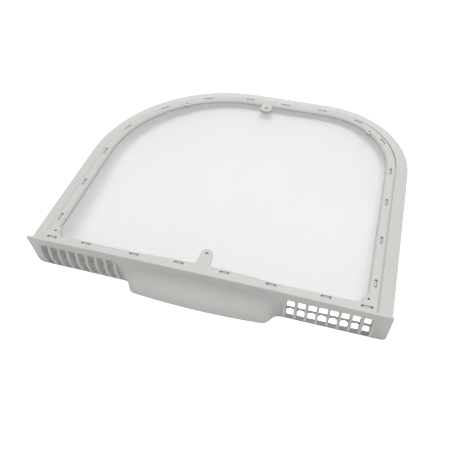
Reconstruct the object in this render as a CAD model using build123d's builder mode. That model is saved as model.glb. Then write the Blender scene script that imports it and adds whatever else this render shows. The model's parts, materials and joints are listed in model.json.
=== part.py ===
"""Lint filter of a tumble dryer: a moulded frame with a grip, a clamping ring and a woven screen.

The filter is drawn with its ring level: X runs along the front plate, Y from the plate to the round
end, and Z = 0 is the top of the clamping ring. At the end each piece is tipped as the filter lies on
a table, on the lower edge of the front plate and on the round end of the frame.
"""

import os
from math import atan2, cos, degrees, radians, sin

from build123d import *

# Row of snap slots: every D-shaped outline is this row, moved in or out
row_half_width = 178.0
row_back = 311.5
left_corner_radius = 157.0
right_corner_radius = 98.0

# Sloping rim of the moulded frame
rim_reach = 21.5
rim_back_extra = 3.4
rim_drop = 7.5
rim_thickness = 2.2
rim_bead = 2.0
seat_wall = 2.0
seat_wall_top = -0.6
ledge_thickness = 2.2

# Clamping ring and the screen under it
ring_reach_out = 4.5
ring_reach_in = 6.3
ring_height = 4.0
ring_top_wall = 2.0
ring_side_wall = 2.0
ring_groove = 1.7
ring_clearance = 0.2
ring_edge = 0.6
ring_slope = 2.1
front_band_edge = 4.0
front_bow = 3.4
front_bow_half_width = 75.0
gusset_width = 7.1
gusset_length = 14.3

# Snap slots and the hooks that stand in them
slot_length = 10.5
slot_width = 2.6
hook_length = 7.5
hook_thickness = 1.1
hook_barb = 0.5
hook_below_top = 0.5
front_slot_x = (25.2, 75.6, 132.0)
front_slot_y = (2.0, 0.0, 0.0)
corner_slot_inset = 5.2
corner_slot_y = -1.0
corner_slot_length = 11.6
side_slot_count = 3
side_slot_first = 30.0
side_slot_spacing = 61.2
right_extra_slot = 208.5
back_slot_shift = -4.3
back_slot_spacing = 51.2
left_slot_angles = (161.0, 137.4, 113.8)
right_slot_angles = (31.8, 61.2)

# Eyes of the clamping ring: front tab, back boss and four small pin holes
tab_hole_y = 21.7
tab_hole = 3.6
tab_tip_radius = 6.6
tab_base_half_width = 8.5
tab_thickness = 2.8
boss_y = 297.5
boss_radius = 8.0
boss_hole = 4.0
boss_neck_width = 13.0
pin_eye_inset = 4.3
pin_eye_radius = 5.0
pin_eye_hole = 2.6
front_pin_inset = 4.7
front_pin_y = 8.8

# Woven screen
screen_thickness = 0.5
screen_edge_inset = 1.6
thread_pitch = 8.0
thread_width = 1.6
thread_rise = 0.35
weave_gap = 3.0
weave_margin = 3.0
weave_middle = 2.4
weave_clearance = 0.2

# Front plate with its lip
plate_overhang = 0.5
plate_height = 48.5
plate_thickness = 2.5
plate_lean = 0.142
plate_corner_radius = 6.0
lip_front = -9.8
lip_depth = 3.4
lip_bow = 1.9
lip_rise = 1.2
lip_height = 5.0
lip_edge = 0.5
floor_depth = 5.0
floor_thickness = 2.0

# Vents at both ends of the plate
vent_end_margin = 13.4
vent_shift = -1.9
vent_count = 8
vent_pitch = 11.3
vane_thickness = 3.1
vane_depth = 12.0
vent_top = -10.0
vane_bulge_y = -8.4
vane_bulge_z = -34.0
bar_setback = 6.0
bar_thickness = 1.2
bar_top = -27.7
bar_bottom = -34.7
arch_top = -30.6

# Pull grip in the middle of the plate
grip_gap = 0.7
grip_flank = 22.1
grip_wall = 2.4
grip_bow = 3.0
grip_levels = (-8.0, -14.0, -22.0, -32.0, -42.0, -50.0)
grip_reach = (0.1, 1.9, 8.0, 16.2, 19.8, 20.4)
grip_lower_edge = -39.0

# Sizes that follow from the ones above
lip_back = lip_front + lip_depth
ring_front = lip_back + ring_clearance
ledge_top = -ring_height
ledge_bottom = ledge_top - ledge_thickness
screen_top = ledge_top + screen_thickness
eye_foot = screen_top + thread_rise + weave_clearance
pocket_reach = ring_reach_out + ring_clearance
seat_reach = pocket_reach + ring_groove + seat_wall
rim_bottom = -rim_drop - rim_thickness
rim_underside = seat_wall_top - rim_thickness
plate_half_width = row_half_width + rim_reach + plate_overhang
frame_front = lip_front + plate_thickness
plate_foot = lip_front + plate_lean * plate_height
left_centre = (left_corner_radius - row_half_width, row_back - left_corner_radius)
right_centre = (row_half_width - right_corner_radius, row_back - right_corner_radius)
window_width = vent_pitch - vane_thickness
vent_half_width = vent_count * vent_pitch / 2 + vane_thickness / 2
vent_centre = plate_half_width - vent_end_margin - vent_half_width
grip_root_half_width = vent_centre - vent_half_width - grip_gap
grip_front_half_width = grip_root_half_width - grip_flank


def d_face(reach, front, level, back_extra=0.0):
    """The slot row moved outwards by reach, and more at the back, closed by a straight front."""
    half = row_half_width + reach
    back = row_back + reach + back_extra
    left = left_corner_radius + reach
    right = right_corner_radius + reach
    with BuildSketch(Plane.XY.offset(level)) as outline:
        with BuildLine():
            Line((half, front), (-half, front))
            Line((-half, front), (-half, back - left))
            RadiusArc((-half, back - left), (left - half, back), left)
            Line((left - half, back), (half - right, back))
            RadiusArc((half - right, back), (half, back - right), right)
            Line((half, back - right), (half, front))
        make_face()
    return outline.sketch


def opening_face(inset, level):
    """The open middle of the filter: D shape with cut front corners and a bowed front edge."""
    half = row_half_width - inset
    back = row_back - inset
    left = left_corner_radius - inset
    right = right_corner_radius - inset
    edge = front_band_edge + inset - ring_reach_in
    bow = front_bow_half_width
    with BuildSketch(Plane.XY.offset(level)) as outline:
        with BuildLine():
            Line((half, edge + gusset_length), (half - gusset_width, edge))
            Line((half - gusset_width, edge), (bow, edge))
            ThreePointArc((bow, edge), (0, edge + front_bow), (-bow, edge))
            Line((-bow, edge), (gusset_width - half, edge))
            Line((gusset_width - half, edge), (-half, edge + gusset_length))
            Line((-half, edge + gusset_length), (-half, back - left))
            RadiusArc((-half, back - left), (left - half, back), left)
            Line((left - half, back), (half - right, back))
            RadiusArc((half - right, back), (half, back - right), right)
            Line((half, back - right), (half, edge + gusset_length))
        make_face()
    return outline.sketch


def on_arc(centre, radius, angle):
    """Point of a corner arc of the slot row, at an angle in degrees."""
    return (centre[0] + radius * cos(radians(angle)), centre[1] + radius * sin(radians(angle)))


def corner_slot_places():
    """Places of the two longer snap slots in the front corners."""
    x = row_half_width - corner_slot_inset
    return [Location((-x, corner_slot_y, 0)), Location((x, corner_slot_y, 0))]


def row_slot_places():
    """Places of the other snap slots, with X of each place along the row."""
    spots = [(row_half_width, right_extra_slot, 90.0)]
    for x, y in zip(front_slot_x, front_slot_y):
        spots += [(-x, y, 0.0), (x, y, 0.0)]
    for number in range(side_slot_count):
        y = side_slot_first + side_slot_spacing * number
        spots += [(-row_half_width, y, 90.0), (row_half_width, y, 90.0)]
    back_middle = (left_centre[0] + right_centre[0]) / 2 + back_slot_shift
    for step in (-1, 0, 1):
        spots.append((back_middle + back_slot_spacing * step, row_back, 0.0))
    for angle in left_slot_angles:
        spots.append((*on_arc(left_centre, left_corner_radius, angle), angle + 90.0))
    for angle in right_slot_angles:
        spots.append((*on_arc(right_centre, right_corner_radius, angle), angle + 90.0))
    return [Location((x, y, 0), (0, 0, angle)) for x, y, angle in spots]


def slot_faces(level):
    """All the snap slots, as faces at a level."""
    with BuildSketch(Plane.XY.offset(level)) as slots:
        with Locations(*corner_slot_places()):
            Rectangle(corner_slot_length, slot_width)
        with Locations(*row_slot_places()):
            Rectangle(slot_length, slot_width)
    return slots.sketch


def pin_eye_places():
    """Centres of the four small pin eyes: two in the front corners, two on the corner arcs."""
    left_angle = sum(left_slot_angles[1:]) / 2
    right_angle = sum(right_slot_angles) / 2
    return [
        (front_pin_inset - row_half_width, front_pin_y),
        (row_half_width - front_pin_inset, front_pin_y),
        on_arc(left_centre, left_corner_radius - pin_eye_inset, left_angle),
        on_arc(right_centre, right_corner_radius - pin_eye_inset, right_angle),
    ]


def plate_front(level):
    """Y of the leaning plate's front face at a level."""
    return lip_front - plate_lean * level


def grip_face(level, reach, wall, back):
    """Plan section of the grip at a level, moved inwards by a wall: eased flanks and a bowed nose."""
    left = vent_shift - grip_root_half_width + wall
    right = vent_shift + grip_root_half_width - wall
    front = grip_front_half_width - wall
    foot = max(plate_front(level), lip_front + lip_bow) + wall
    nose = foot - reach
    bow = grip_bow * reach / max(grip_reach)
    turn = 2 * atan2(bow, front)
    with BuildSketch(Plane.XY.offset(level)) as section:
        with BuildLine():
            Spline((left, foot), (-front, nose), tangents=((1, 0), (cos(turn), -sin(turn))))
            ThreePointArc((-front, nose), (0, nose - bow), (front, nose))
            Spline((front, nose), (right, foot), tangents=((cos(turn), sin(turn)), (1, 0)))
            Polyline((right, foot), (right, back), (left, back), (left, foot))
        make_face()
    return section.sketch


# Front plate: leaning wall with a bowed lip on top and a short floor at the bottom
with BuildPart() as plate:
    lip_bottom = lip_rise - lip_height
    floor_top = floor_thickness - plate_height
    with BuildSketch(Plane.YZ):
        with BuildLine():
            Polyline(
                (lip_front, lip_rise),
                (lip_back, lip_rise),
                (lip_back, lip_bottom),
                (plate_front(lip_bottom) + plate_thickness, lip_bottom),
                (plate_front(floor_top) + plate_thickness, floor_top),
                (plate_foot + floor_depth, floor_top),
                (plate_foot + floor_depth, -plate_height),
                (plate_foot, -plate_height),
                (lip_front, 0),
                close=True,
            )
        make_face()
    extrude(amount=plate_half_width, both=True)
    with BuildSketch(Plane.XY.offset(lip_rise)):
        with BuildLine():
            lip_left = (-plate_half_width, lip_front)
            lip_right = (plate_half_width, lip_front)
            ThreePointArc(lip_left, (0, lip_front + lip_bow), lip_right)
            Polyline(
                lip_right,
                (plate_half_width, lip_front - lip_bow),
                (-plate_half_width, lip_front - lip_bow),
                lip_left,
            )
        make_face()
    extrude(amount=-plate_height, mode=Mode.SUBTRACT)
    lip_edges = plate.faces().sort_by(Axis.Z)[-1].edges().sort_by(SortBy.LENGTH)[-2:]
    chamfer(lip_edges, lip_edge)
    foot_corners = plate.edges().filter_by(Axis.Y).group_by(Axis.Z)[0]
    fillet(foot_corners, plate_corner_radius)

# Vent grille: nine bowed vanes tied by an arched bar behind them
with BuildPart() as grille:
    grille_centre = vent_centre + vent_shift
    with BuildSketch(Plane.YZ.offset(grille_centre - vent_half_width)):
        with BuildLine():
            vane_top_front = (plate_front(vent_top), vent_top + plate_thickness)
            vane_foot_front = (plate_foot, -plate_height)
            ThreePointArc(vane_top_front, (vane_bulge_y, vane_bulge_z), vane_foot_front)
            Polyline(
                vane_foot_front,
                (plate_foot + floor_depth, -plate_height),
                (plate_front(vent_top) + vane_depth, bar_bottom),
                (plate_front(vent_top) + vane_depth, vent_top),
                (plate_front(vent_top) + plate_thickness, vent_top + plate_thickness),
                vane_top_front,
            )
        make_face()
    extrude(amount=vane_thickness)
    vane = grille.part
    for number in range(1, vent_count + 1):
        add(Pos(number * vent_pitch, 0, 0) * vane)
    with BuildSketch(Plane.XZ.offset(-plate_front(vent_top) - bar_setback)):
        with Locations((grille_centre, (bar_top + bar_bottom) / 2)):
            Rectangle(2 * vent_half_width, bar_top - bar_bottom)
        with Locations((grille_centre, arch_top - window_width / 2)):
            with GridLocations(vent_pitch, 0, vent_count, 1):
                Circle(window_width / 2, mode=Mode.SUBTRACT)
    extrude(amount=-bar_thickness)

# Pull grip: shell that swells out of the plate, open behind and below
with BuildPart() as grip:
    for level, reach in zip(grip_levels, grip_reach):
        add(grip_face(level, reach, 0, plate_foot + plate_thickness))
    loft()

with BuildPart() as grip_hollow:
    for level, reach in zip(grip_levels, grip_reach):
        add(grip_face(level - grip_wall, reach, grip_wall, plate_foot + 2 * floor_depth))
    loft(ruled=True)

# Moulded frame
with BuildPart() as main_frame:
    rim_outer_edge = d_face(rim_reach, frame_front, -rim_drop, rim_back_extra)
    rim_inner_edge = d_face(pocket_reach, frame_front, seat_wall_top)
    under_outer_edge = d_face(rim_reach - rim_bead, frame_front, rim_bottom, rim_back_extra)
    under_inner_edge = d_face(seat_reach, frame_front, rim_underside)
    extrude(rim_outer_edge, amount=-rim_thickness)
    loft([rim_outer_edge, rim_inner_edge], ruled=True)
    loft([under_outer_edge, under_inner_edge], ruled=True, mode=Mode.SUBTRACT)
    extrude(d_face(seat_reach, frame_front, ledge_bottom), amount=rim_underside - ledge_bottom)
    add(plate.part)
    add(grip.part)
    add(grip_hollow.part, mode=Mode.SUBTRACT)
    pocket = d_face(pocket_reach, lip_back, ledge_top)
    extrude(pocket, amount=ring_height + lip_rise, mode=Mode.SUBTRACT)
    extrude(Pos(ring_groove, 0, 0) * pocket, amount=ring_height, mode=Mode.SUBTRACT)
    extrude(opening_face(ring_reach_in, ledge_bottom), amount=ring_height, mode=Mode.SUBTRACT)

    # Openings of the vents, then their grilles
    vent_middle = (vent_top + floor_top) / 2
    with BuildSketch(Plane.XZ.offset(-lip_front)):
        with Locations((grille_centre - 2 * vent_centre, vent_middle), (grille_centre, vent_middle)):
            Rectangle(2 * vent_half_width - vane_thickness, vent_top - floor_top)
    extrude(amount=-(plate_lean * plate_height + plate_thickness), mode=Mode.SUBTRACT)
    add(grille.part)
    add(Pos(-2 * vent_centre, 0, 0) * grille.part)

    # Lower edge of the grip: level with the plate's foot, then rising towards the front
    clear_front = plate_foot - 2 * max(grip_reach)
    clear_back = plate_foot + 2 * floor_depth
    with BuildSketch(Plane.YZ):
        with BuildLine():
            Polyline(
                (clear_back, -plate_height),
                (plate_foot, -plate_height),
                (plate_foot - max(grip_reach), grip_lower_edge),
                (clear_front, grip_lower_edge),
                (clear_front, -2 * plate_height),
                (clear_back, -2 * plate_height),
                close=True,
            )
        make_face()
    extrude(amount=grip_root_half_width - vent_shift, both=True, mode=Mode.SUBTRACT)

    # Snap hooks on the ledge, one under each slot
    hook_face = hook_thickness / 2
    hook_top = ring_height - hook_below_top
    for place in corner_slot_places() + row_slot_places():
        row = Plane(place)
        across = Plane(row.origin + Vector(0, 0, ledge_top), x_dir=row.y_dir, z_dir=row.x_dir)
        with BuildSketch(across.offset(-hook_length / 2)):
            with BuildLine():
                Polyline(
                    (-hook_face, 0),
                    (hook_face, 0),
                    (hook_face, hook_top - 2 * hook_barb),
                    (hook_face + hook_barb, hook_top - hook_barb),
                    (hook_face, hook_top),
                    (-hook_face, hook_top),
                    close=True,
                )
            make_face()
        extrude(amount=hook_length)

# Clamping ring
with BuildPart() as clamp_ring:
    extrude(d_face(ring_reach_out, ring_front, ledge_top), amount=ring_height)
    chamfer(clamp_ring.faces().sort_by(Axis.Z)[-1].edges(), ring_edge)
    channel = d_face(ring_reach_out - ring_side_wall, ring_front + ring_side_wall, ledge_top)
    extrude(channel, amount=ring_height - ring_top_wall, mode=Mode.SUBTRACT)
    extrude(opening_face(ring_reach_in - ring_side_wall, screen_top), amount=-ring_top_wall - screen_top)
    extrude(opening_face(ring_reach_in, ledge_top), amount=ring_height, mode=Mode.SUBTRACT)
    slope_top = opening_face(ring_reach_in - ring_slope, 0)
    loft([slope_top, opening_face(ring_reach_in, -ring_slope)], ruled=True, mode=Mode.SUBTRACT)

    # Front tab: a tongue with a round tip
    with BuildSketch():
        with BuildLine():
            Polyline(
                (tab_tip_radius, tab_hole_y),
                (tab_base_half_width, front_band_edge),
                (-tab_base_half_width, front_band_edge),
                (-tab_tip_radius, tab_hole_y),
            )
            RadiusArc((-tab_tip_radius, tab_hole_y), (tab_tip_radius, tab_hole_y), tab_tip_radius)
        make_face()
    extrude(amount=-tab_thickness)
    with Locations((0, tab_hole_y)):
        Hole(tab_hole / 2)

    # Back boss on its neck, just clear of the screen
    with BuildSketch():
        with Locations((0, boss_y)):
            Circle(boss_radius)
        with Locations((0, (boss_y + row_back) / 2)):
            Rectangle(boss_neck_width, row_back - boss_y - 2 * ring_edge)
    extrude(amount=eye_foot)
    with Locations((0, boss_y)):
        Hole(boss_hole / 2)

    # Pin eyes
    with BuildSketch():
        with Locations(*pin_eye_places()):
            Circle(pin_eye_radius)
    extrude(amount=eye_foot)
    with Locations(*[(x, y, 0) for x, y in pin_eye_places()]):
        Hole(pin_eye_hole / 2)

    # Snap slots through the top wall
    extrude(slot_faces(0), amount=-ring_height, mode=Mode.SUBTRACT)

# Woven screen: a thin sheet with a row of raised threads and open gaps between them
with BuildPart() as lint_screen:
    extrude(opening_face(screen_edge_inset, ledge_top), amount=screen_thickness)
    weave_inset = ring_reach_in + weave_margin
    weave_half = row_half_width - weave_inset
    thread_count = int((row_back - 2 * weave_inset) / thread_pitch)
    weave_centre = (row_back + front_band_edge + weave_margin - weave_inset) / 2
    with BuildSketch(Plane.XY.offset(screen_top)):
        with Locations((0, weave_centre)):
            with GridLocations(0, thread_pitch, 1, thread_count):
                Rectangle(2 * weave_half, thread_width)
        add(opening_face(weave_inset, screen_top), mode=Mode.INTERSECT)
    extrude(amount=thread_rise)
    with BuildSketch(Plane.XY.offset(ledge_top)):
        with Locations((0, weave_centre)):
            with GridLocations(weave_half + weave_middle, thread_pitch, 2, thread_count - 1):
                Rectangle(weave_half - weave_middle, weave_gap)
        add(opening_face(weave_inset, ledge_top), mode=Mode.INTERSECT)
    extrude(amount=screen_thickness, mode=Mode.SUBTRACT)
    extrude(slot_faces(ledge_top), amount=screen_thickness, mode=Mode.SUBTRACT)

# The filter lies on the foot of its plate and on the round end of its rim
rim_back = row_back + rim_reach + rim_back_extra
tip_angle = atan2(rim_bottom + plate_height, rim_back - plate_foot - floor_depth)
tipped = Location((0, 0, 0), (-degrees(tip_angle), 0, 0))
box = main_frame.part.moved(tipped).bounding_box()
rest = Location((-box.center().X, -box.center().Y, -box.min.Z)) * tipped

os.makedirs("parts", exist_ok=True)
for name, piece in (("main_frame", main_frame), ("clamp_ring", clamp_ring), ("lint_screen", lint_screen)):
    placed = piece.part.moved(rest)
    placed.label = name
    export_step(placed, f"parts/{name}.step")
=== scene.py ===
"""Looks of a tumble dryer lint filter: grey moulded frame and clamping ring, fine white screen, pale studio.

Lengths are in metres. The row frame has X along the front plate, Y from the plate to the round end and Z up;
the filter lies on the foot of its plate and on its round end, so its level plane is tipped about X.
"""

from __future__ import annotations

import json
import logging
import math
from dataclasses import dataclass, field
from enum import Enum

import bpy
from mathutils import Matrix, Vector

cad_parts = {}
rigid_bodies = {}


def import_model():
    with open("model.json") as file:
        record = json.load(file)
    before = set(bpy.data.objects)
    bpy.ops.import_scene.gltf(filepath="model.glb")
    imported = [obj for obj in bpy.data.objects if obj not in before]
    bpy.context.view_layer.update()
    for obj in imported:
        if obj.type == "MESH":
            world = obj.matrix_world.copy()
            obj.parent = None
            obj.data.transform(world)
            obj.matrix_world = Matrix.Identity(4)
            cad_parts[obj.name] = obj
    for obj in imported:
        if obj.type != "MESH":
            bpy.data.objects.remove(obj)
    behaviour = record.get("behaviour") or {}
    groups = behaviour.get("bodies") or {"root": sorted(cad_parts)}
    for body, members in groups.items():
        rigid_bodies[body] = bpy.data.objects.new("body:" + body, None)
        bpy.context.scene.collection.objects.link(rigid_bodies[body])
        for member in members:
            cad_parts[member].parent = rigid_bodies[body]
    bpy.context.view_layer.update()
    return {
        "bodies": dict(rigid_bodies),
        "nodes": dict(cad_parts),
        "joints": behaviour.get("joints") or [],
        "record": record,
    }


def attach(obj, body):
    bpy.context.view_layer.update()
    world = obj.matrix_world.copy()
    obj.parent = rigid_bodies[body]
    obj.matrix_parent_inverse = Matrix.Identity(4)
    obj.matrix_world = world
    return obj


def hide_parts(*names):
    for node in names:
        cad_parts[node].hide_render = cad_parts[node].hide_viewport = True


LOG = logging.getLogger("lint_filter")
MM = 0.001
ROOT_BODY = "root"
Colour = tuple[float, float, float, float]
Span = tuple[Vector, Vector]
GRAIN_DETAIL = 2.0
MOTTLE_DETAIL = 3.0
EDGE_SAMPLES = 4
EDGE_LIKENESS = 0.8
PLACE_TOLERANCE = 0.01 * MM


class SocketKind(Enum):
    """Kinds of socket that a shader node group can have."""

    VALUE = "NodeSocketFloat"
    COLOUR = "NodeSocketColor"
    VECTOR = "NodeSocketVector"


class NodeBoard:
    """Adds nodes to one node tree and joins them."""

    def __init__(self, tree: bpy.types.NodeTree) -> None:
        """Starts with an empty tree.

        Args:
            tree: Tree of a material, a world or a group.
        """
        self.tree = tree
        tree.nodes.clear()

    def add(self, kind: str, **settings: object) -> bpy.types.Node:
        """Adds one node.

        Args:
            kind: Blender's name of the node's type.
            **settings: Properties of the node.

        Returns:
            The new node.
        """
        node = self.tree.nodes.new(kind)
        for name, value in settings.items():
            setattr(node, name, value)
        return node

    def place(self, group: bpy.types.NodeTree, **values: float) -> bpy.types.Node:
        """Places a shared group in this tree.

        Args:
            group: The group's tree.
            **values: Values of its inputs, with underscores for spaces.

        Returns:
            The group's node.
        """
        node = self.add("ShaderNodeGroup", node_tree=group)
        for name, value in values.items():
            node.inputs[name.replace("_", " ")].default_value = value
        return node

    def join(self, source: bpy.types.NodeSocket, target: bpy.types.NodeSocket) -> None:
        """Links an output to an input.

        Args:
            source: The output.
            target: The input.
        """
        self.tree.links.new(source, target)


def new_group(
    name: str, inputs: dict[str, SocketKind], outputs: dict[str, SocketKind]
) -> tuple[NodeBoard, bpy.types.Node, bpy.types.Node]:
    """Starts a shader node group.

    Args:
        name: Name of the group.
        inputs: Kind of each input socket, by name.
        outputs: Kind of each output socket, by name.

    Returns:
        The group's board, its input node and its output node.
    """
    tree = bpy.data.node_groups.new(name, "ShaderNodeTree")
    for in_out, sockets in (("INPUT", inputs), ("OUTPUT", outputs)):
        for socket, kind in sockets.items():
            tree.interface.new_socket(name=socket, in_out=in_out, socket_type=kind.value)
    board = NodeBoard(tree)
    return board, board.add("NodeGroupInput"), board.add("NodeGroupOutput")


def grain_group() -> bpy.types.NodeTree:
    """Makes the fine spark-eroded grain of a moulded surface with its cloudy mottle.

    Returns:
        A group with the inputs Grain scale and Mottle scale, in cells per metre, and the outputs Grain and Mottle.
    """
    value = SocketKind.VALUE
    board, start, end = new_group(
        "moulded_grain", {"Grain scale": value, "Mottle scale": value}, {"Grain": value, "Mottle": value}
    )
    place = board.add("ShaderNodeTexCoord")
    grain = board.add("ShaderNodeTexNoise")
    grain.inputs["Detail"].default_value = GRAIN_DETAIL
    mottle = board.add("ShaderNodeTexNoise")
    mottle.inputs["Detail"].default_value = MOTTLE_DETAIL
    for noise, scale, out in ((grain, "Grain scale", "Grain"), (mottle, "Mottle scale", "Mottle")):
        board.join(place.outputs["Object"], noise.inputs["Vector"])
        board.join(start.outputs[scale], noise.inputs["Scale"])
        board.join(noise.outputs["Fac"], end.inputs[out])
    return board.tree


def edge_highlight_group() -> bpy.types.NodeTree:
    """Finds the edges of a moulding, for a painted highlight that makes them a little paler, and rounds their
    normals.

    Returns:
        A group with the input Width, in metres, and the outputs Edge, a mask, and Normal, with the edges rounded.
    """
    board, start, end = new_group(
        "painted_edge_highlight", {"Width": SocketKind.VALUE}, {"Edge": SocketKind.VALUE, "Normal": SocketKind.VECTOR}
    )
    rounded = board.add("ShaderNodeBevel", samples=EDGE_SAMPLES)
    surface = board.add("ShaderNodeNewGeometry")
    likeness = board.add("ShaderNodeVectorMath", operation="DOT_PRODUCT")
    turned = board.add("ShaderNodeMapRange")
    turned.inputs["From Min"].default_value, turned.inputs["From Max"].default_value = 1.0, EDGE_LIKENESS
    board.join(start.outputs["Width"], rounded.inputs["Radius"])
    board.join(rounded.outputs["Normal"], likeness.inputs[0])
    board.join(surface.outputs["Normal"], likeness.inputs[1])
    board.join(likeness.outputs["Value"], turned.inputs["Value"])
    board.join(turned.outputs["Result"], end.inputs["Edge"])
    board.join(rounded.outputs["Normal"], end.inputs["Normal"])
    return board.tree


@dataclass(frozen=True)
class PlasticFinish:
    """Satin moulded plastic: cloudy colour, fine grain, slightly paler edges from a painted highlight."""

    name: str
    colour: Colour
    cloud_colour: Colour
    # Colour of the painted highlight along the edges.
    edge_highlight_colour: Colour
    roughness: tuple[float, float] = (0.42, 0.56)
    grain_scale: float = 2600.0
    mottle_scale: float = 22.0
    grain_depth: float = 0.02 * MM
    grain_strength: float = 0.25
    edge_width: float = 0.45 * MM
    ior: float = 1.46

    def material(self, grain: bpy.types.NodeTree, edge: bpy.types.NodeTree) -> bpy.types.Material:
        """Makes the material.

        Args:
            grain: Group of the moulded grain.
            edge: Group of the edges, for their painted highlight and rounded normals.

        Returns:
            The new material.
        """
        material = bpy.data.materials.new(self.name)
        material.use_nodes = True
        board = NodeBoard(material.node_tree)
        surface = board.place(grain, Grain_scale=self.grain_scale, Mottle_scale=self.mottle_scale)
        rim = board.place(edge, Width=self.edge_width)
        cloud = board.add("ShaderNodeMix", data_type="RGBA")
        cloud.inputs["A"].default_value = self.colour
        cloud.inputs["B"].default_value = self.cloud_colour
        # Painted highlight: the colour is lightened towards the edge colour along every edge.
        pale = board.add("ShaderNodeMix", data_type="RGBA")
        pale.inputs["B"].default_value = self.edge_highlight_colour
        gloss = board.add("ShaderNodeMapRange")
        gloss.inputs["To Min"].default_value, gloss.inputs["To Max"].default_value = self.roughness
        bump = board.add("ShaderNodeBump")
        bump.inputs["Strength"].default_value = self.grain_strength
        bump.inputs["Distance"].default_value = self.grain_depth
        shader = board.add("ShaderNodeBsdfPrincipled")
        shader.inputs["IOR"].default_value = self.ior
        out = board.add("ShaderNodeOutputMaterial")
        board.join(surface.outputs["Mottle"], cloud.inputs["Factor"])
        board.join(cloud.outputs["Result"], pale.inputs["A"])
        board.join(rim.outputs["Edge"], pale.inputs["Factor"])
        board.join(pale.outputs["Result"], shader.inputs["Base Color"])
        board.join(surface.outputs["Mottle"], gloss.inputs["Value"])
        board.join(gloss.outputs["Result"], shader.inputs["Roughness"])
        board.join(surface.outputs["Grain"], bump.inputs["Height"])
        board.join(rim.outputs["Normal"], bump.inputs["Normal"])
        board.join(bump.outputs["Normal"], shader.inputs["Normal"])
        board.join(shader.outputs["BSDF"], out.inputs["Surface"])
        return material


@dataclass(frozen=True)
class ThreadFinish:
    """White polyester thread with a soft sheen and faint changes of tone from thread to thread."""

    name: str
    colour: Colour
    dull_colour: Colour
    roughness: tuple[float, float] = (0.5, 0.65)
    tone_scale: float = 160.0
    sheen: float = 0.15

    def material(self) -> bpy.types.Material:
        """Makes the material.

        Returns:
            The new material.
        """
        material = bpy.data.materials.new(self.name)
        material.use_nodes = True
        board = NodeBoard(material.node_tree)
        place = board.add("ShaderNodeTexCoord")
        tone = board.add("ShaderNodeTexNoise")
        tone.inputs["Scale"].default_value = self.tone_scale
        mix = board.add("ShaderNodeMix", data_type="RGBA")
        mix.inputs["A"].default_value = self.colour
        mix.inputs["B"].default_value = self.dull_colour
        gloss = board.add("ShaderNodeMapRange")
        gloss.inputs["To Min"].default_value, gloss.inputs["To Max"].default_value = self.roughness
        shader = board.add("ShaderNodeBsdfPrincipled")
        shader.inputs["Sheen Weight"].default_value = self.sheen
        out = board.add("ShaderNodeOutputMaterial")
        board.join(place.outputs["Object"], tone.inputs["Vector"])
        board.join(tone.outputs["Fac"], mix.inputs["Factor"])
        board.join(mix.outputs["Result"], shader.inputs["Base Color"])
        board.join(tone.outputs["Fac"], gloss.inputs["Value"])
        board.join(gloss.outputs["Result"], shader.inputs["Roughness"])
        board.join(shader.outputs["BSDF"], out.inputs["Surface"])
        return material


def seen_mask(board: NodeBoard) -> bpy.types.NodeSocket:
    """Tells what the camera sees, straight, in a gloss or through something clear, from what only gives light.

    Args:
        board: Board of the material or world that asks.

    Returns:
        An output that is 1 for what is seen and 0 for the rest.
    """
    path = board.add("ShaderNodeLightPath")
    straight = board.add("ShaderNodeMath", operation="MAXIMUM")
    seen = board.add("ShaderNodeMath", operation="MAXIMUM")
    board.join(path.outputs["Is Camera Ray"], straight.inputs[0])
    board.join(path.outputs["Is Glossy Ray"], straight.inputs[1])
    board.join(straight.outputs["Value"], seen.inputs[0])
    board.join(path.outputs["Is Transmission Ray"], seen.inputs[1])
    return seen.outputs["Value"]


@dataclass(frozen=True)
class PaperFinish:
    """White sweep of the studio: paler to the camera than to the lamps, most of all in front of the filter, where
    this painted light washes out most of the filter's shadow.
    """

    name: str
    colour: Colour
    seen_colour: Colour
    front_colour: Colour
    front_fade: tuple[float, float] = (-0.122, -0.134)

    def material(self) -> bpy.types.Material:
        """Makes the material.

        Returns:
            The new material.
        """
        material = bpy.data.materials.new(self.name)
        material.use_nodes = True
        board = NodeBoard(material.node_tree)
        place = board.add("ShaderNodeTexCoord")
        axes = board.add("ShaderNodeSeparateXYZ")
        # Painted light: in front of the filter the paper shows far brighter to the camera, washing out the
        # filter's shadow there.
        front = board.add("ShaderNodeMapRange", interpolation_type="SMOOTHSTEP")
        front.inputs["From Min"].default_value, front.inputs["From Max"].default_value = self.front_fade
        path = board.add("ShaderNodeLightPath")
        burnt = board.add("ShaderNodeMath", operation="MULTIPLY")
        bright = board.add("ShaderNodeMix", data_type="RGBA")
        bright.inputs["A"].default_value = self.seen_colour
        bright.inputs["B"].default_value = self.front_colour
        mix = board.add("ShaderNodeMix", data_type="RGBA")
        mix.inputs["A"].default_value = self.colour
        paper = board.add("ShaderNodeBsdfDiffuse")
        out = board.add("ShaderNodeOutputMaterial")
        board.join(place.outputs["Object"], axes.inputs["Vector"])
        board.join(axes.outputs["Y"], front.inputs["Value"])
        board.join(front.outputs["Result"], burnt.inputs[0])
        board.join(path.outputs["Is Camera Ray"], burnt.inputs[1])
        board.join(burnt.outputs["Value"], bright.inputs["Factor"])
        board.join(bright.outputs["Result"], mix.inputs["B"])
        board.join(seen_mask(board), mix.inputs["Factor"])
        board.join(mix.outputs["Result"], paper.inputs["Color"])
        board.join(paper.outputs["BSDF"], out.inputs["Surface"])
        return material


def dress(piece: bpy.types.Object, material: bpy.types.Material) -> None:
    """Gives a piece one material in place of those it has.

    Args:
        piece: The piece.
        material: Its new material.
    """
    piece.data.materials.clear()
    piece.data.materials.append(material)


def deselect_all() -> None:
    """Leaves object mode with nothing selected."""
    bpy.ops.object.select_all(action="DESELECT")


def make_active(piece: bpy.types.Object) -> None:
    """Selects one piece alone and makes it active.

    Args:
        piece: The piece.
    """
    deselect_all()
    piece.select_set(True)
    bpy.context.view_layer.objects.active = piece


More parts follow.
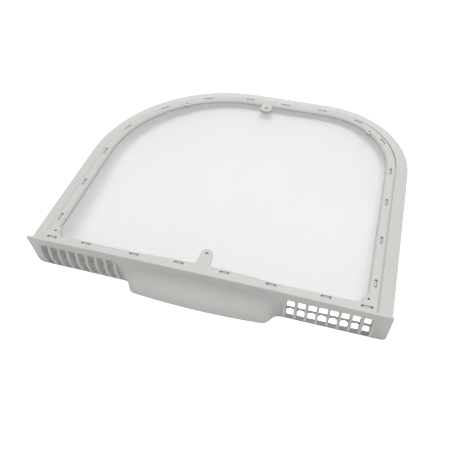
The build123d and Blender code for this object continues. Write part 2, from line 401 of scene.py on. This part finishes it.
@dataclass
class Moulding:
    """One moulded piece of the filter, with smooth shading over its curved faces."""

    node: str
    piece_name: str
    slot: str
    finish: PlasticFinish
    weld_distance: float = 0.002 * MM
    sharp_angle: float = math.radians(20.0)

    def build(self, frame: dict) -> bpy.types.Object:
        """Copies the solid's triangles, welds them and shades the curved faces smooth.

        Args:
            frame: What the frame's loader returned.

        Returns:
            The finished piece.
        """
        source = frame["nodes"][self.node]
        piece = bpy.data.objects.new(self.piece_name, source.data.copy())
        piece.data.name = self.piece_name
        bpy.context.scene.collection.objects.link(piece)
        make_active(piece)
        bpy.ops.mesh.customdata_custom_splitnormals_clear()
        bpy.ops.object.mode_set(mode="EDIT")
        bpy.ops.mesh.select_all(action="SELECT")
        bpy.ops.mesh.remove_doubles(threshold=self.weld_distance)
        bpy.ops.object.mode_set(mode="OBJECT")
        bpy.ops.object.shade_smooth_by_angle(angle=self.sharp_angle)
        even = piece.modifiers.new("even_normals", "WEIGHTED_NORMAL")
        even.keep_sharp = True
        bpy.ops.object.modifier_apply(modifier=even.name)
        return piece

    def fit(self, piece: bpy.types.Object, grain: bpy.types.NodeTree, edge: bpy.types.NodeTree) -> None:
        """Dresses the piece and puts it in its node's place.

        Args:
            piece: The built piece.
            grain: Group of the moulded grain.
            edge: Group of the edges, for their painted highlight and rounded normals.
        """
        dress(piece, self.finish.material(grain, edge))
        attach(piece, ROOT_BODY)
        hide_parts(self.node)


@dataclass(frozen=True)
class LevelFrame:
    """Place of the level filter in the row frame: Z = 0 is the top of the ring, its round end lies low."""

    tip: float = math.radians(6.6201)
    shift_y: float = -151.308 * MM
    shift_z: float = 48.417 * MM

    def matrix(self) -> Matrix:
        """Turns level places into places in the row frame.

        Returns:
            The matrix that does so.
        """
        return Matrix.Translation((0.0, self.shift_y, self.shift_z)) @ Matrix.Rotation(-self.tip, 4, "X")


@dataclass
class Screen:
    """Fine woven screen, stretched over the open middle of the frame and clamped by the ring."""

    finish: ThreadFinish
    level: LevelFrame = field(default_factory=LevelFrame)
    piece_name: str = "screen_cloth"
    node: str = "lint_screen"
    slot: str = "screen_weave"
    half_width: float = 173.0 * MM
    back: float = 306.5 * MM
    left_radius: float = 152.0 * MM
    right_radius: float = 93.0 * MM
    front: float = 2.7 * MM
    front_bow: float = 3.4 * MM
    front_bow_half_width: float = 75.0 * MM
    gusset_width: float = 7.1 * MM
    gusset_length: float = 14.3 * MM
    pitch: float = 0.8 * MM
    thread_width: float = 0.24 * MM
    thread_height: float = 0.17 * MM
    middle_level: float = -3.76 * MM
    sides: int = 6
    round_angle: float = math.radians(75.0)

    def front_at(self, x: float) -> float:
        """Finds the front edge, bowed in the middle and cut off at the corners.

        Args:
            x: Place along the front.

        Returns:
            Y of the edge there.
        """
        bow, corner = self.front_bow_half_width, self.half_width - self.gusset_width
        if abs(x) < bow:
            radius = (bow**2 + self.front_bow**2) / (2 * self.front_bow)
            return self.front + self.front_bow - radius + math.sqrt(radius**2 - x**2)
        return self.front + max(0.0, abs(x) - corner) / self.gusset_width * self.gusset_length

    def back_at(self, x: float) -> float:
        """Finds the round end.

        Args:
            x: Place along the front.

        Returns:
            Y of the end there.
        """
        left_x, right_x = self.left_radius - self.half_width, self.half_width - self.right_radius
        if x < left_x:
            return self.back - self.left_radius + math.sqrt(max(0.0, self.left_radius**2 - (x - left_x) ** 2))
        if x > right_x:
            return self.back - self.right_radius + math.sqrt(max(0.0, self.right_radius**2 - (x - right_x) ** 2))
        return self.back

    def side_at(self, y: float, radius: float) -> float:
        """Finds one side.

        Args:
            y: Place from the plate to the round end.
            radius: Radius of the back corner on that side.

        Returns:
            Distance of the side from the middle there.
        """
        if y < self.front + self.gusset_length:
            return self.half_width - self.gusset_width * (1.0 - (y - self.front) / self.gusset_length)
        rise = max(0.0, y - (self.back - radius))
        return self.half_width - radius + math.sqrt(max(0.0, radius**2 - rise**2))

    def warp_spans(self) -> list[Span]:
        """Lays out the threads along Y, one for each pitch of X.

        Returns:
            The two ends of each thread.
        """
        count = int(self.half_width / self.pitch)
        places = [number * self.pitch for number in range(-count, count + 1)]
        level = self.middle_level - self.thread_height / 2
        return [(Vector((x, self.front_at(x), level)), Vector((x, self.back_at(x), level))) for x in places]

    def weft_spans(self) -> list[Span]:
        """Lays out the threads along X; those that meet the bowed front edge come in two lengths.

        Returns:
            The two ends of each thread.
        """
        level = self.middle_level + self.thread_height / 2
        radius = (self.front_bow_half_width**2 + self.front_bow**2) / (2 * self.front_bow)
        spans: list[Span] = []
        for number in range(1, int((self.back - self.front) / self.pitch)):
            y = self.front + number * self.pitch
            left, right = -self.side_at(y, self.left_radius), self.side_at(y, self.right_radius)
            short = self.front + self.front_bow - y
            if short > 0.0:
                gap = math.sqrt(radius**2 - (radius - short) ** 2)
                spans.append((Vector((left, y, level)), Vector((-gap, y, level))))
                spans.append((Vector((gap, y, level)), Vector((right, y, level))))
            else:
                spans.append((Vector((left, y, level)), Vector((right, y, level))))
        return spans

    def build(self) -> bpy.types.Object:
        """Lays every thread as a slim tube with closed ends.

        Returns:
            The finished cloth.
        """
        points: list[Vector] = []
        faces: list[tuple[int, ...]] = []
        place = self.level.matrix()
        up = Vector((0.0, 0.0, self.thread_height / 2))
        for across, spans in (
            (Vector((self.thread_width / 2, 0.0, 0.0)), self.warp_spans()),
            (Vector((0.0, -self.thread_width / 2, 0.0)), self.weft_spans()),
        ):
            turns = [2 * math.pi * side / self.sides for side in range(self.sides)]
            section = [across * math.cos(turn) + up * math.sin(turn) for turn in turns]
            for first, last in spans:
                start = len(points)
                points += [place @ (end + offset) for end in (first, last) for offset in section]
                for side in range(self.sides):
                    beside = (side + 1) % self.sides
                    near, far = start + side, start + self.sides + side
                    faces.append((near, start + beside, start + self.sides + beside, far))
                faces.append(tuple(start + side for side in reversed(range(self.sides))))
                faces.append(tuple(start + self.sides + side for side in range(self.sides)))
        mesh = bpy.data.meshes.new(self.piece_name)
        mesh.from_pydata(points, [], faces)
        mesh.update()
        cloth = bpy.data.objects.new(self.piece_name, mesh)
        bpy.context.scene.collection.objects.link(cloth)
        make_active(cloth)
        bpy.ops.object.mode_set(mode="EDIT")
        bpy.ops.mesh.select_all(action="SELECT")
        bpy.ops.mesh.normals_make_consistent(inside=False)
        bpy.ops.object.mode_set(mode="OBJECT")
        bpy.ops.object.shade_smooth_by_angle(angle=self.round_angle)
        return cloth

    def fit(self, cloth: bpy.types.Object) -> None:
        """Dresses the cloth and puts it in its node's place.

        Args:
            cloth: The built cloth.
        """
        dress(cloth, self.finish.material())
        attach(cloth, ROOT_BODY)
        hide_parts(self.node)


@dataclass(frozen=True)
class Lamp:
    """Square soft box that faces a point."""

    name: str
    place: tuple[float, float, float]
    aim: tuple[float, float, float]
    size: float
    power: float
    colour: tuple[float, float, float] = (1.0, 1.0, 1.0)

    def build(self) -> bpy.types.Object:
        """Hangs the soft box.

        Returns:
            The lamp.
        """
        deselect_all()
        bpy.ops.object.light_add(type="AREA", location=self.place)
        lamp = bpy.context.object
        lamp.name = self.name
        lamp.data.size = self.size
        lamp.data.energy = self.power
        lamp.data.color = self.colour
        lamp.rotation_euler = (Vector(self.aim) - Vector(self.place)).to_track_quat("-Z", "Y").to_euler()
        return lamp


@dataclass
class Studio:
    """White sweep, soft boxes, pale surroundings and the camera."""

    paper: PaperFinish
    lamps: tuple[Lamp, ...]
    sky_strength: float = 0.34
    sky_colour: Colour = (1.0, 1.0, 1.0, 1.0)
    floor_size: float = 6.0
    wall_height: float = 2.5
    wall_bend: float = 0.6
    wall_steps: int = 12
    eye: tuple[float, float, float] = (0.13252, -0.44025, 0.54341)
    target: tuple[float, float, float] = (0.00464, -0.07458, 0.025)
    roll: float = math.radians(-4.137)
    focal_length: float = 44.546
    film_width: float = 36.0

    def sweep(self) -> bpy.types.Object:
        """Makes the floor with its back edge drawn up into a wall over a round bend.

        Returns:
            The floor.
        """
        deselect_all()
        bpy.ops.mesh.primitive_plane_add(size=self.floor_size, location=(0.0, 0.0, 0.0))
        floor = bpy.context.object
        floor.name = "studio_sweep"
        bpy.ops.object.mode_set(mode="EDIT")
        bpy.ops.mesh.select_mode(type="EDGE")
        bpy.ops.mesh.select_all(action="DESELECT")
        bpy.ops.object.mode_set(mode="OBJECT")
        self.pick_back_edge(floor)
        bpy.ops.object.mode_set(mode="EDIT")
        bpy.ops.mesh.extrude_region_move(TRANSFORM_OT_translate={"value": (0.0, 0.0, self.wall_height)})
        bpy.ops.mesh.select_all(action="DESELECT")
        bpy.ops.object.mode_set(mode="OBJECT")
        self.pick_back_edge(floor)
        bpy.ops.object.mode_set(mode="EDIT")
        bpy.ops.mesh.bevel(offset=self.wall_bend, segments=self.wall_steps)
        bpy.ops.object.mode_set(mode="OBJECT")
        bpy.ops.object.shade_smooth()
        dress(floor, self.paper.material())
        return floor

    def pick_back_edge(self, floor: bpy.types.Object) -> None:
        """Selects the edge at the back of the floor, at the floor's level.

        Args:
            floor: The floor, in object mode.
        """
        points = floor.data.vertices
        for edge in floor.data.edges:
            ends = [points[index].co for index in edge.vertices]
            at_back = all(math.isclose(end.y, self.floor_size / 2, abs_tol=PLACE_TOLERANCE) for end in ends)
            edge.select = at_back and all(abs(end.z) < PLACE_TOLERANCE for end in ends)

    def surroundings(self) -> None:
        """Lights the studio evenly from all sides, white to the camera."""
        world = bpy.data.worlds.new("pale_studio")
        bpy.context.scene.world = world
        world.use_nodes = True
        board = NodeBoard(world.node_tree)
        soft = board.add("ShaderNodeBackground")
        soft.inputs["Color"].default_value = self.sky_colour
        soft.inputs["Strength"].default_value = self.sky_strength
        white = board.add("ShaderNodeBackground")
        white.inputs["Color"].default_value = self.sky_colour
        mix = board.add("ShaderNodeMixShader")
        out = board.add("ShaderNodeOutputWorld")
        board.join(seen_mask(board), mix.inputs["Fac"])
        board.join(soft.outputs["Background"], mix.inputs[1])
        board.join(white.outputs["Background"], mix.inputs[2])
        board.join(mix.outputs["Shader"], out.inputs["Surface"])

    def camera(self) -> bpy.types.Object:
        """Sets the camera at the photograph's place.

        Returns:
            The camera.
        """
        deselect_all()
        bpy.ops.object.camera_add()
        camera = bpy.context.object
        camera.name = "front_camera"
        camera.data.lens = self.focal_length
        camera.data.sensor_width = self.film_width
        look = (Vector(self.target) - Vector(self.eye)).to_track_quat("-Z", "Y").to_matrix().to_4x4()
        camera.matrix_world = Matrix.Translation(self.eye) @ look @ Matrix.Rotation(self.roll, 4, "Z")
        bpy.context.scene.camera = camera
        return camera

    def build(self) -> None:
        """Builds the whole studio."""
        self.sweep()
        self.surroundings()
        for lamp in self.lamps:
            lamp.build()
        self.camera()
        bpy.context.scene.view_settings.view_transform = "Standard"


# The edge colours below are painted highlights along the mouldings' edges.
FRAME_PLASTIC = PlasticFinish(
    name="frame_plastic_grey",
    colour=(0.655, 0.660, 0.635, 1.0),
    cloud_colour=(0.675, 0.680, 0.655, 1.0),
    edge_highlight_colour=(0.72, 0.725, 0.70, 1.0),
)
RING_PLASTIC = PlasticFinish(
    name="ring_plastic_grey",
    colour=(0.640, 0.645, 0.620, 1.0),
    cloud_colour=(0.660, 0.665, 0.640, 1.0),
    edge_highlight_colour=(0.73, 0.735, 0.71, 1.0),
)
SCREEN_THREAD = ThreadFinish(
    name="screen_thread_white",
    colour=(0.73, 0.73, 0.73, 1.0),
    dull_colour=(0.68, 0.68, 0.68, 1.0),
)
STUDIO_PAPER = PaperFinish(
    name="studio_paper",
    colour=(0.93, 0.93, 0.93, 1.0),
    seen_colour=(1.8, 1.8, 1.8, 1.0),
    # The front colour is painted light that washes out the filter's shadow in front of it.
    front_colour=(5.0, 5.0, 5.0, 1.0),
)
KEY_LAMP = Lamp("key_soft_box", (0.1, 0.3, 1.9), (0.0, 0.0, 0.0), 1.2, 25.2)


def main() -> None:
    """Builds the filter's pieces and the studio."""
    logging.basicConfig(level=logging.INFO, format="%(name)s: %(message)s")
    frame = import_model()
    grain, edge = grain_group(), edge_highlight_group()
    for moulding in (
        Moulding("main_frame", "frame_moulding", "frame_plastic", FRAME_PLASTIC),
        Moulding("clamp_ring", "ring_moulding", "ring_plastic", RING_PLASTIC),
    ):
        piece = moulding.build(frame)
        moulding.fit(piece, grain, edge)
        LOG.info("%s: %d faces", piece.name, len(piece.data.polygons))
    screen = Screen(SCREEN_THREAD)
    cloth = screen.build()
    screen.fit(cloth)
    LOG.info("%s: %d faces", cloth.name, len(cloth.data.polygons))
    Studio(STUDIO_PAPER, (KEY_LAMP,)).build()


if __name__ == "__main__":
    main()
